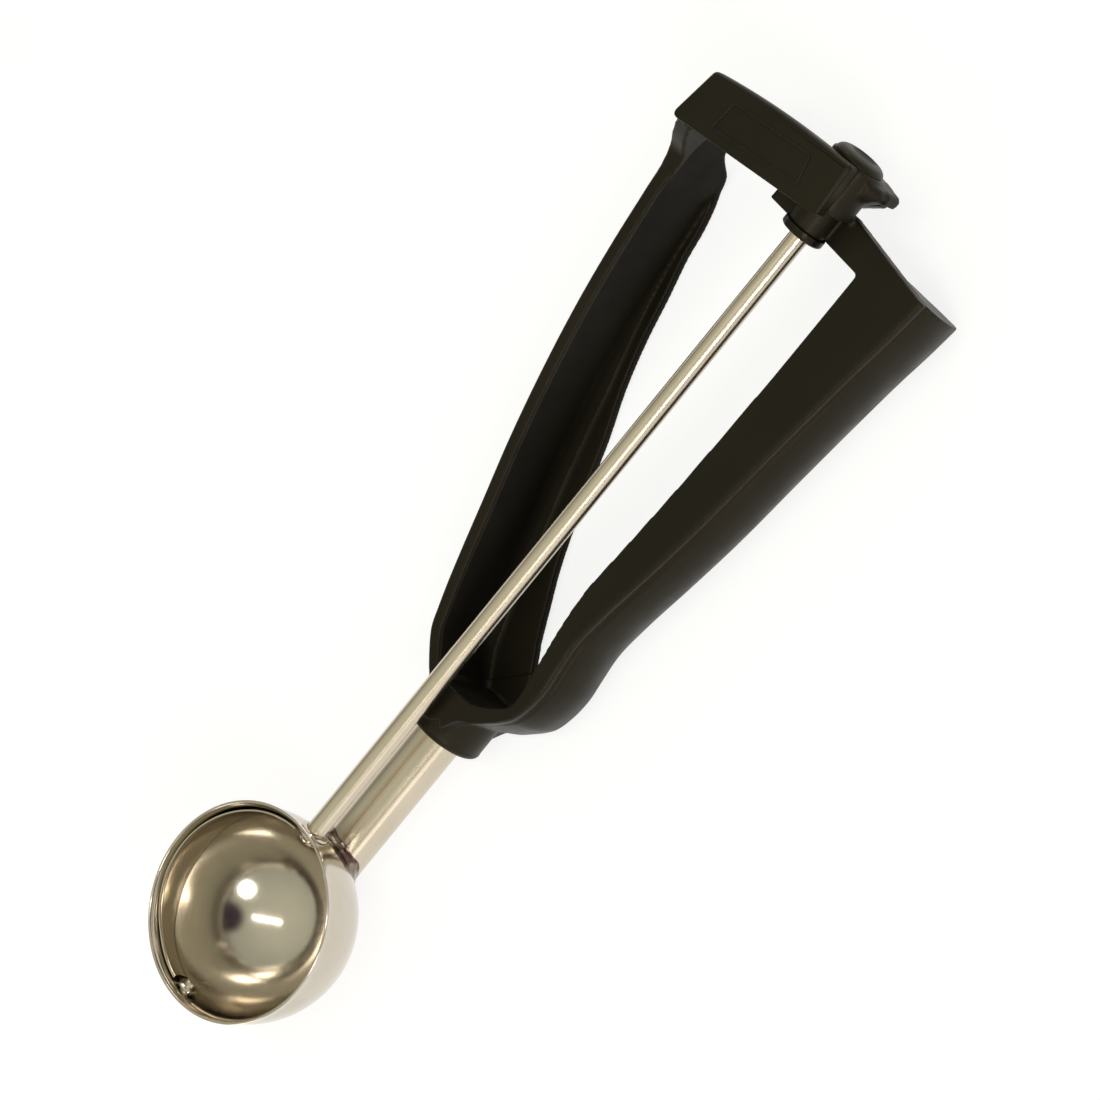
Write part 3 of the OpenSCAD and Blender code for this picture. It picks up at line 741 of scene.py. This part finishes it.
collar_side = bar("collar_side", COLLAR_R, COLLAR_Y + 3, PIVOT_Y + 1.2, TUBE_Z)
combine(collar_side, "INTERSECT", prism("right_of_middle", [
    (1, COLLAR_Y), (20, COLLAR_Y), (20, PIVOT_Y + 5), (1, PIVOT_Y + 5)], -1, 30))

# Floor of the U between the arms, and the web that closes its back
saddle = prism("saddle", [
    (-4, PIVOT_Y - 1.4), (3.4, PIVOT_Y - 1), (7.4, PIVOT_Y + 0.7), (9, PIVOT_Y + 3.5), (7, PIVOT_Y + 5.2),
    (3.6, PIVOT_Y + 4.7), (0.6, PIVOT_Y + 4.5), (-2.6, PIVOT_Y + 3.9), (-4.6, PIVOT_Y + 2.4)], 0.3, HANDLE_D)
web = prism("web", [
    (-3, PIVOT_Y + 3.5), (0.5, up(18)), (3.6, up(13.5)), (5.6, up(9.8)), (7.2, up(8.6)), (10, up(8.8)),
    (12, up(8)), (7, up(4))], BACK_SKIN, FLANGE_T)
boss = prism("boss", arc_points(0, PIVOT_Y, BOSS_R, 0, 360, 48)[:-1], 0, HANDLE_D)
SHOULDER_INSET = 1.4
shoulder = prism("shoulder", [
    (-BOSS_R, PIVOT_Y - 3), (BOSS_R, PIVOT_Y - 3), (BOSS_R, PIVOT_Y), (-BOSS_R, PIVOT_Y)],
    SHOULDER_INSET, HANDLE_D - SHOULDER_INSET)

# Bar across the top of the handle, its left tip and the block that holds the rod's bush
bar_plate = prism("bar_plate", [
    (-13.7, BAR_Y0 - 1.8), (-2, BAR_Y0 - 1.6), (-2, BAR_Y0), (13.4, BAR_Y0), (20, BAR_Y0 - 1),
    (29.2, BAR_Y1 - 1.5), (5.2, BAR_Y1 + 0.9), (-12.2, BAR_Y1)], HANDLE_D - PLATE_T, HANDLE_D)
bar_tip = prism("bar_tip", [
    (-13.6, BAR_Y0 - 1.6), (-7, BAR_Y0 - 1.6), (-7, BAR_Y0 + 2), (-13.3, BAR_Y0 + 2)],
    HANDLE_D - 4.6, HANDLE_D - 0.1)
block = bar("block", BLOCK_R, BAR_Y0, BAR_Y1, ROD_Z)

# Post behind the pinion, the roof it carries and the guard round the pinion's right half.
# Each is cut to its plan or side by a prism, and a plan reaches up to HEAD_ROOM.
HEAD_ROOM = 40
RAIL_Z0 = 14.0
POST_Z1 = RAIL_Z0 - 0.4
POST_Z0 = POST_Z1 - 2.8
slope_y = SLOPE * (HANDLE_D - POST_Z0)
POST_LEFT = -5.5
post = side_prism("post", [
    (BAR_Y0, POST_Z0), (ROOF_Y1 - slope_y, POST_Z0), (ROOF_Y1, HANDLE_D), (ROOF_Y1, ROD_Z),
    (ROOF_Y0, ROD_Z), (ROOF_Y0, RAIL_Z0 + 4), (ROOF_Y0 - 1.4, POST_Z1), (BAR_Y1 - 0.3, POST_Z1),
    (BAR_Y1 - 0.3, HANDLE_D - 0.01), (BAR_Y0, HANDLE_D - 0.01)], POST_LEFT, 4.5)
combine(post, "INTERSECT", prism("post_plan", [
    (POST_LEFT, BAR_Y0), (-1, BAR_Y0), (-0.8, BAR_Y1 + 0.6), (0.8, BAR_Y1 + 1.9), (4.2, BAR_Y1 + 4.6),
    (3.9, TOP_Y), (POST_LEFT, TOP_Y)], 0, HEAD_ROOM))
roof = bar("roof", ROOF_R, ROOF_Y0, ROOF_Y1, ROD_Z)
combine(roof, "INTERSECT", prism("under_cover", [(-20, 180), (20, 180), (20, 220), (-20, 220)],
                                 0, COVER_Z0 - MOVE_GAP))
guard = turned("guard", [
    (GUARD_R, BAR_Y1 - 0.8), (ROOF_R, BAR_Y1 - 0.8), (ROOF_R, ROOF_Y0 + 0.5), (GUARD_R, ROOF_Y0 + 0.5),
    (GUARD_R, BAR_Y1 - 0.8)], ROD_Z)
combine(guard, "INTERSECT", side_prism("guard_side", [
    (BAR_Y0, HANDLE_D - 0.4), (BAR_Y1, HANDLE_D - 0.4), (BAR_Y1, GUARD_Z0), (TOP_Y, GUARD_Z0),
    (TOP_Y, COVER_Z0 - MOVE_GAP), (BAR_Y0, COVER_Z0 - MOVE_GAP)], 0.01, 20))

# Thumb hook, with the web that joins it to the guard
WEB_X = GUARD_R + 0.05
WEB_Y = 199.8
HOOK_SIDE = [(WEB_X, BAR_Y1 - 0.9), (GUARD_R + 0.2, ROOF_Y0 - 4.1), (7.0, ROOF_Y0 - 2.4),
             (8.6, ROOF_Y0 - 0.8), (9.0, ROOF_Y0 + 0.5), (8.3, ROOF_Y1 - 1), (WEB_X, ROOF_Y1 - 0.3)]
# Levels of the web: z, share of the width, share of the height
WEB_LEVELS = ((GUARD_Z0, 1, 1), (22.3, 0.92, 0.98), (25, 0.4, 0.9))
guard_web = loft("guard_web", [
    [(WEB_X + (x - WEB_X) * wide, WEB_Y + (y - WEB_Y) * tall, z) for x, y in HOOK_SIDE]
    for z, wide, tall in WEB_LEVELS])
hook_root = prism("hook_root", [
    (4, ROOF_Y0 - 0.4), (8, ROOF_Y0 - 0.7), (9, ROOF_Y0 - 0.3), (9.1, ROOF_Y0 + 0.7), (8.3, ROOF_Y1 - 0.9),
    (4, ROOF_Y1 - 0.3)], 16.2, GUARD_Z0 + 0.2)
hook = prism("hook", [
    (1, ROOF_Y1 - 1.4), (1, ROOF_Y1 - 0.3), (8.2, ROOF_Y1 - 0.8), (9.2, ROOF_Y1 - 1.5), (9, ROOF_Y1 - 3.5),
    (7, ROOF_Y1 - 3.4), (4.6, ROOF_Y1 - 3)], HANDLE_D - 3.5, HANDLE_D + 0.7)

handle = fused("moulded_handle", [
    arm, wall, flange, web, saddle, collar, collar_lip, collar_side, boss, shoulder,
    bar_plate, bar_tip, block, post, roof, guard, guard_web, hook_root, hook])

# Point on the plane that cuts the squeeze arm off at its root
BEND_START = metres((-5.2, PIVOT_Y + 3.4, 0))
# The channel that faces the rod gets a less glossy copy of the plastic, as painted shade for the shade
# between the arms
SHADED_NORMAL_X = 0.35
SHADED_TOP_Z = 0.0185


def split_handle(obj):
    """Cuts the squeeze arm off at its root."""
    root = Vector(BEND_START)
    way = Vector((-0.75, 0.66, 0)).normalized()
    right, top = metres((6, 150, 0))[:2]
    # only the arm is left of this line, and the bar starts above this height
    arm_left = metres((-20, 0, 0))[0]
    bar_low = metres((0, BAR_Y0 - 1.5, 0))[1]
    bm = bmesh.new()
    bm.from_mesh(obj.data)
    middle = {f: f.calc_center_median() for f in bm.faces}
    near = [f for f in bm.faces if middle[f].x < right and middle[f].y < top]
    geom = near + list({e for f in near for e in f.edges}) + list({v for f in near for v in f.verts})
    bmesh.ops.bisect_plane(bm, geom=geom, plane_co=root, plane_no=way, dist=1e-7)
    chosen = set()
    for f in bm.faces:
        c = f.calc_center_median()
        # the limit on the right moves in by 20 mm for each 100 mm of height
        left = c.x < right - 0.02 * max(0.0, (c.y - root.y) / 0.1)
        clear_of_bar = c.y < bar_low or c.x < arm_left
        if (c - root).dot(way) > 0 and left and clear_of_bar:
            chosen.add(f)
    # only the faces that hang together with the arm
    seed = min(chosen, key=lambda f: f.calc_center_median().x)
    reached = {seed}
    todo = [seed]
    while todo:
        f = todo.pop()
        for e in f.edges:
            for g in e.link_faces:
                if g in chosen and g not in reached:
                    reached.add(g)
                    todo.append(g)
    fixed = bm.copy()
    index = {f.index for f in reached}
    for half, drop in ((bm, False), (fixed, True)):
        half.faces.ensure_lookup_table()
        gone = [f for f in half.faces if (f.index in index) == drop]
        bmesh.ops.delete(half, geom=gone, context="FACES")
        rims = [e for e in half.edges if e.is_boundary]
        bmesh.ops.holes_fill(half, edges=rims, sides=0)
    mesh = bpy.data.meshes.new("squeeze_arm")
    bm.to_mesh(mesh)
    fixed.to_mesh(obj.data)
    bm.free()
    fixed.free()
    return add_object("squeeze_arm", mesh)


squeeze_arm = split_handle(handle)
dress(handle, "frame", "handle_plastic", BLACK, "handle_frame")
dress(squeeze_arm, None, "handle_plastic", BLACK, "squeeze_lever")
# Faces of the channel that face the rod, low on the arm, get the painted-shade copy of the plastic
squeeze_arm.data.materials.append(SHADED_CHANNEL)
for face in squeeze_arm.data.polygons:
    if face.normal.x > SHADED_NORMAL_X and face.center.z < SHADED_TOP_Z:
        face.material_index = 1
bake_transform(squeeze_arm)

# ---------------------------------------------------------------- cap and bush
# Half sections as (radius, y) pairs
CAP_SECTION = [
    (CAP_R - 0.1, ROOF_Y1 - 0.2), (CAP_R, ROOF_Y1 + 0.2), (CAP_R - 0.25, ROOF_Y1 + 0.7),
    (CAP_R - 0.8, ROOF_Y1 + 1.15), (CAP_R - 1.7, TOP_Y - 0.08), (CAP_R - 2.6, TOP_Y),
    (CAP_R / 2 - 0.3, TOP_Y - 0.25), (1.2, TOP_Y - 0.55), (0.01, TOP_Y - 0.6)]
cap = turned("end_cap", [(0, ROOF_Y1 - 0.2)] + smooth_rows(CAP_SECTION, 4) + [(0, TOP_Y - 0.6)], ROD_Z)
dress(soft_shade(cap, 60), "frame", "handle_plastic", BLACK, "fork_cap")

BUSH_BORE = ROD_R + RUN_GAP
BUSH_SECTION = [
    (BUSH_BORE, BAR_Y0 - 1.6), (4.5, BAR_Y0 - 1.6), (4.8, BAR_Y0 - 1.3), (4.85, BAR_Y0 - 1),
    (4.85, BAR_Y0 + 0.1), (3, BAR_Y0 + 0.2), (3, BAR_Y1), (BUSH_BORE, BAR_Y1), (BUSH_BORE, BAR_Y0 - 1.6)]
dress(soft_shade(turned("rod_bush", BUSH_SECTION, ROD_Z)), "frame", "handle_plastic", BUSH, "fork_bush")

# ---------------------------------------------------------------- head of the squeeze arm
COVER = [(-37.1, 124), (4.8, 131), (4.3, 143.3), (-35.5, 136.8)]
COVER_ARC = 230.0
COVER_ROUNDS = (1.4, 0.9, 1.2, 1.4)
# Round along the cover's edge. From the height ARCH_FROM on, it widens by ARCH_ROUND within ARCH_OVER.
EDGE_ROUND = 0.4
ARCH_ROUND = 0.75
ARCH_FROM = 8
ARCH_OVER = 3
# Chamfer round its back: inwards, upwards
BACK_IN = 0.15
BACK_UP = 0.2
# Block behind it, which goes OVERLAP into the cover
HEAD_Z0 = 11.4
HEAD_ROUND = 0.4
OVERLAP = 0.5
# As it slides by the rack's travel, the head stays HEAD_GAP clear of the bar's left end and of the pinion
BAR_LEFT = -13.2
PITCH_R = 4.05
ADDENDUM = 0.648
RACK_RADIUS = 136.1
SQUEEZE = math.radians(5.2)
HEAD_GAP = 0.7
# Thin raised outline of the plain panel on the cover
PANEL = [(-27.6, 188.9), (-2.8, 193.6), (-4.6, 200.1), (-26.8, 196.2)]
PANEL_ROUND = 1.0
# Section of that outline: distance inwards, height above the cover
PANEL_SECTION = ((0.0, -0.3), (0.0, 0.1), (0.2, 0.3), (0.4, 0.3), (0.6, 0.1), (0.6, -0.3))


def cover_outline():
    """Cover's outline with its arched top edge and rounded corners."""
    c = [Vector((x, up(h))) for x, h in COVER]
    chord = c[2] - c[3]
    out = Vector((-chord.y, chord.x)).normalized()
    centre = (c[2] + c[3]) / 2 - out * math.sqrt(COVER_ARC ** 2 - (chord.length / 2) ** 2)
    a0 = math.degrees(math.atan2(c[2].y - centre.y, c[2].x - centre.x))
    a1 = math.degrees(math.atan2(c[3].y - centre.y, c[3].x - centre.x))
    corners = [(*corner, radius) for corner, radius in zip(c, COVER_ROUNDS)]
    top = [(x, y, 0) for x, y in arc_points(centre.x, centre.y, COVER_ARC, a0, a1, 20)[1:-1]]
    return rounded(corners[:3] + top + corners[3:])


def cover_rings(outline):
    """Cover from back to front, with a broad round along its arched edge and a small one elsewhere."""
    low = Vector((COVER[0][0], up(COVER[0][1])))
    way = (Vector((COVER[1][0], up(COVER[1][1]))) - low).normalized()
    broad = []
    for x, y in outline:
        height = (Vector((x, y)) - low).dot(Vector((-way.y, way.x)))
        broad.append(EDGE_ROUND + ARCH_ROUND * min(1, max(0, (height - ARCH_FROM) / ARCH_OVER)))
    rings = [[(x, y, COVER_Z0) for x, y in inset(outline, [BACK_IN] * len(outline))],
             [(x, y, COVER_Z0 + BACK_UP) for x, y in outline]]
    for k in range(7):
        a = math.pi / 2 * k / 6
        ring = inset(outline, [b * (1 - math.cos(a)) for b in broad])
        rings.append([(x, y, COVER_Z1 - b * (1 - math.sin(a))) for (x, y), b in zip(ring, broad)])
    return rings


def head_block(outline):
    """Block behind the cover, cut back from what it slides past and sloped like the handle's back."""
    made = prism("head", outline, HEAD_Z0, COVER_Z0 + OVERLAP)
    travel = RACK_RADIUS * math.sin(SQUEEZE)
    block_x = BAR_LEFT - travel - HEAD_GAP
    web_x = -PITCH_R - ADDENDUM - travel - HEAD_GAP
    combine(made, "INTERSECT", prism("head_plan", [
        (-60, up(120)), (block_x, up(120)), (block_x, BAR_Y1 + 0.8), (web_x, BAR_Y1 + 1.6), (web_x, 210),
        (-60, 210)], 0, HEAD_ROOM))
    combine(made, "INTERSECT", side_prism("head_side", [
        (up(120), COVER_Z1), (up(138), COVER_Z1), (up(138) - SLOPE * (COVER_Z1 - HEAD_Z0), HEAD_Z0),
        (up(120), HEAD_Z0)], -60, 20))
    soften = made.modifiers.new("soften", "BEVEL")
    soften.width = HEAD_ROUND / 1000
    soften.segments = 3
    soften.limit_method = "ANGLE"
    soften.angle_limit = math.radians(40)
    applied(made)
    return made


cover_edge = cover_outline()
cover = loft("rack_head", cover_rings(cover_edge))
combine(cover, "UNION", head_block(cover_edge))
dress(soft_shade(cover, 32), "lever", "handle_plastic", BLACK, "rack_housing")

panel_edge = rounded([(x, y, PANEL_ROUND) for x, y in PANEL])
panel = hoop("panel_outline", [
    [(x, y, COVER_Z1 + z) for x, y in inset(panel_edge, [inwards] * len(panel_edge))]
    for inwards, z in PANEL_SECTION])
dress(soft_shade(panel, 50), "lever", "handle_plastic", BLACK)

# ---------------------------------------------------------------- hidden metal pieces stay as the solids
for node in ("thrust_washer", "pinion", "rack", "shank_lock_pin"):
    part = frame["nodes"][node]
    part.data.materials.clear()
    part.data.materials.append(GEAR)

# ---------------------------------------------------------------- camera, floor and light
# Focal length and image side are in pixels, the distance and the shift in millimetres
TILT = math.radians(15.95)
TURN = math.radians(-32.07)
ROLL = math.radians(-39.11)
DISTANCE = 1200.0
SHIFT = (-62.59, -75.58)
FOCAL = 5779.4
IMAGE_SIDE = 1100
SENSOR = 36


def camera():
    """Camera at the photograph's angle, looking down on the scoop from the side of the fixed arm."""
    rx = Matrix(((1, 0, 0), (0, math.cos(TILT), -math.sin(TILT)), (0, math.sin(TILT), math.cos(TILT))))
    ry = Matrix(((math.cos(TURN), 0, math.sin(TURN)), (0, 1, 0), (-math.sin(TURN), 0, math.cos(TURN))))
    rz = Matrix(((math.cos(ROLL), -math.sin(ROLL), 0), (math.sin(ROLL), math.cos(ROLL), 0), (0, 0, 1)))
    rm = rz @ rx @ ry
    place = rm.transposed() @ Vector((-SHIFT[0], -SHIFT[1], DISTANCE)) + Vector((0, 0, ROD_Z))
    data = bpy.data.cameras.new("camera")
    data.sensor_width = SENSOR
    data.lens = FOCAL * SENSOR / IMAGE_SIDE
    data.clip_start = 0.01
    data.clip_end = 50
    made = add_object("camera", data)
    pose = rm.transposed().to_4x4()
    pose.translation = metres(place)
    made.matrix_world = pose
    bpy.context.scene.camera = made


camera()


def seen_share(nodes, links):
    """1 for rays from the camera and for mirror and glass rays, else 0."""
    path = nodes.new("ShaderNodeLightPath")
    first = nodes.new("ShaderNodeMath")
    first.operation = "MAXIMUM"
    links.new(path.outputs["Is Camera Ray"], first.inputs[0])
    links.new(path.outputs["Is Glossy Ray"], first.inputs[1])
    second = nodes.new("ShaderNodeMath")
    second.operation = "MAXIMUM"
    links.new(first.outputs[0], second.inputs[0])
    links.new(path.outputs["Is Transmission Ray"], second.inputs[1])
    return second.outputs[0]


FLOOR_HALF = 6.0
FLOOR_DROP = 0.0004
FLOOR_GREY = 0.8
SEEN_GREY = 0.3
SEEN_GLOW = 0.8


def floor():
    """Plain pale floor: matt for the light it sends on, near white where it is seen, with the shadow."""
    half = FLOOR_HALF
    corners = [(-half, -half, 0), (half, -half, 0), (half, half, 0), (-half, half, 0)]
    mesh = bpy.data.meshes.new("floor")
    mesh.from_pydata(corners, [], [(0, 1, 2, 3)])
    made = add_object("floor", mesh)
    made.location.z = -FLOOR_DROP
    mat = bpy.data.materials.new("floor_pale")
    mat.use_nodes = True
    nodes = mat.node_tree.nodes
    links = mat.node_tree.links
    nodes.clear()
    out = nodes.new("ShaderNodeOutputMaterial")
    plain = nodes.new("ShaderNodeBsdfDiffuse")
    plain.inputs["Color"].default_value = (FLOOR_GREY, FLOOR_GREY, FLOOR_GREY, 1)
    catch = nodes.new("ShaderNodeBsdfDiffuse")
    catch.inputs["Color"].default_value = (SEEN_GREY, SEEN_GREY, SEEN_GREY, 1)
    glow = nodes.new("ShaderNodeEmission")
    glow.inputs["Strength"].default_value = SEEN_GLOW
    add = nodes.new("ShaderNodeAddShader")
    mix = nodes.new("ShaderNodeMixShader")
    links.new(glow.outputs[0], add.inputs[0])
    links.new(catch.outputs[0], add.inputs[1])
    links.new(seen_share(nodes, links), mix.inputs[0])
    links.new(plain.outputs[0], mix.inputs[1])
    links.new(add.outputs[0], mix.inputs[2])
    links.new(mix.outputs[0], out.inputs["Surface"])
    mesh.materials.append(mat)


floor()

# The room that lights the scoop and shows in its steel: height (0 horizon, 1 overhead), colour. Ends first.
ROOM = ((0.0, (0.98, 0.95, 0.90)), (1.0, (0.68, 0.67, 0.55)), (0.10, (0.90, 0.87, 0.83)),
        (0.22, (0.34, 0.315, 0.27)), (0.40, (0.23, 0.215, 0.18)), (0.58, (0.50, 0.51, 0.42)))
# Soft round spots in that room: azimuth, elevation, inner and outer radius in degrees, colour
SPOTS = ((43, 31, 12, 20, (0.055, 0.04, 0.05)), (121, 13, 9, 18, (1.0, 0.94, 0.86)),
         (-70, 6, 9, 20, (1.0, 0.94, 0.86)))
# Area lights: name, shape, azimuth, elevation, width, height in metres, power in watts
SOFTBOXES = (("softbox_key", "ELLIPSE", -5, 40, 0.44, 0.44, 4.4),
             ("softbox_top", "RECTANGLE", 34, 76, 0.085, 0.80, 2.4),
             ("softbox_side", "ELLIPSE", -24, 14, 0.50, 0.40, 0.8),
             ("softbox_back", "ELLIPSE", 121, 13, 0.50, 0.30, 1.5),
             ("softbox_left", "ELLIPSE", -72, 9, 0.60, 0.34, 2.2))
SOFTBOX_DISTANCE = 1.4
SOFTBOX_COLOUR = (1.0, 0.97, 0.92)


def direction(azimuth, elevation):
    """Unit vector, azimuth from +X towards +Y, both angles in degrees."""
    a = math.radians(azimuth)
    e = math.radians(elevation)
    return Vector((math.cos(a) * math.cos(e), math.sin(a) * math.cos(e), math.sin(e)))


def spot(nodes, links, where, colour, azimuth, elevation, inner, outer, tone):
    """A soft round spot of another tone in the room."""
    dot = nodes.new("ShaderNodeVectorMath")
    dot.operation = "DOT_PRODUCT"
    dot.inputs[1].default_value = direction(azimuth, elevation)
    links.new(where, dot.inputs[0])
    share = spread(nodes, links, dot.outputs["Value"], low=math.cos(math.radians(outer)),
                   high=math.cos(math.radians(inner)), out_low=0, out_high=1)
    return mix_colour(nodes, links, share, colour, tone)


def world():
    """Plain surroundings: white to the camera, else a room with pale horizon, dim wall and soft ceiling."""
    made = bpy.data.worlds.new("studio")
    made.use_nodes = True
    bpy.context.scene.world = made
    nodes = made.node_tree.nodes
    links = made.node_tree.links
    nodes.clear()
    out = nodes.new("ShaderNodeOutputWorld")
    where = nodes.new("ShaderNodeTexCoord").outputs["Generated"]
    split = nodes.new("ShaderNodeSeparateXYZ")
    links.new(where, split.inputs[0])
    ramp = nodes.new("ShaderNodeValToRGB")
    ramp.color_ramp.interpolation = "EASE"
    stops = ramp.color_ramp.elements
    for i, (height, colour) in enumerate(ROOM):
        # a new ramp has its two end stops already
        stop = stops[i] if i < 2 else stops.new(height)
        stop.position = height
        stop.color = (*colour, 1)
    links.new(split.outputs["Z"], ramp.inputs[0])
    colour = ramp.outputs[0]
    for row in SPOTS:
        colour = spot(nodes, links, where, colour, *row)
    room = nodes.new("ShaderNodeBackground")
    links.new(colour, room.inputs["Color"])
    white = nodes.new("ShaderNodeBackground")
    path = nodes.new("ShaderNodeLightPath")
    mix = nodes.new("ShaderNodeMixShader")
    links.new(path.outputs["Is Camera Ray"], mix.inputs[0])
    links.new(room.outputs[0], mix.inputs[1])
    links.new(white.outputs[0], mix.inputs[2])
    links.new(mix.outputs[0], out.inputs["Surface"])


def softbox(name, shape, azimuth, elevation, width, height, power):
    """Area light that faces the scoop."""
    data = bpy.data.lights.new(name, "AREA")
    data.shape = shape
    data.size = width
    data.size_y = height
    data.energy = power
    data.color = SOFTBOX_COLOUR
    way = direction(azimuth, elevation)
    facing = way.to_track_quat("Z", "Y").to_matrix().to_4x4()
    facing.translation = way * SOFTBOX_DISTANCE
    add_object(name, data).matrix_world = facing


world()
for row in SOFTBOXES:
    softbox(*row)

bpy.context.scene.view_settings.view_transform = "Standard"
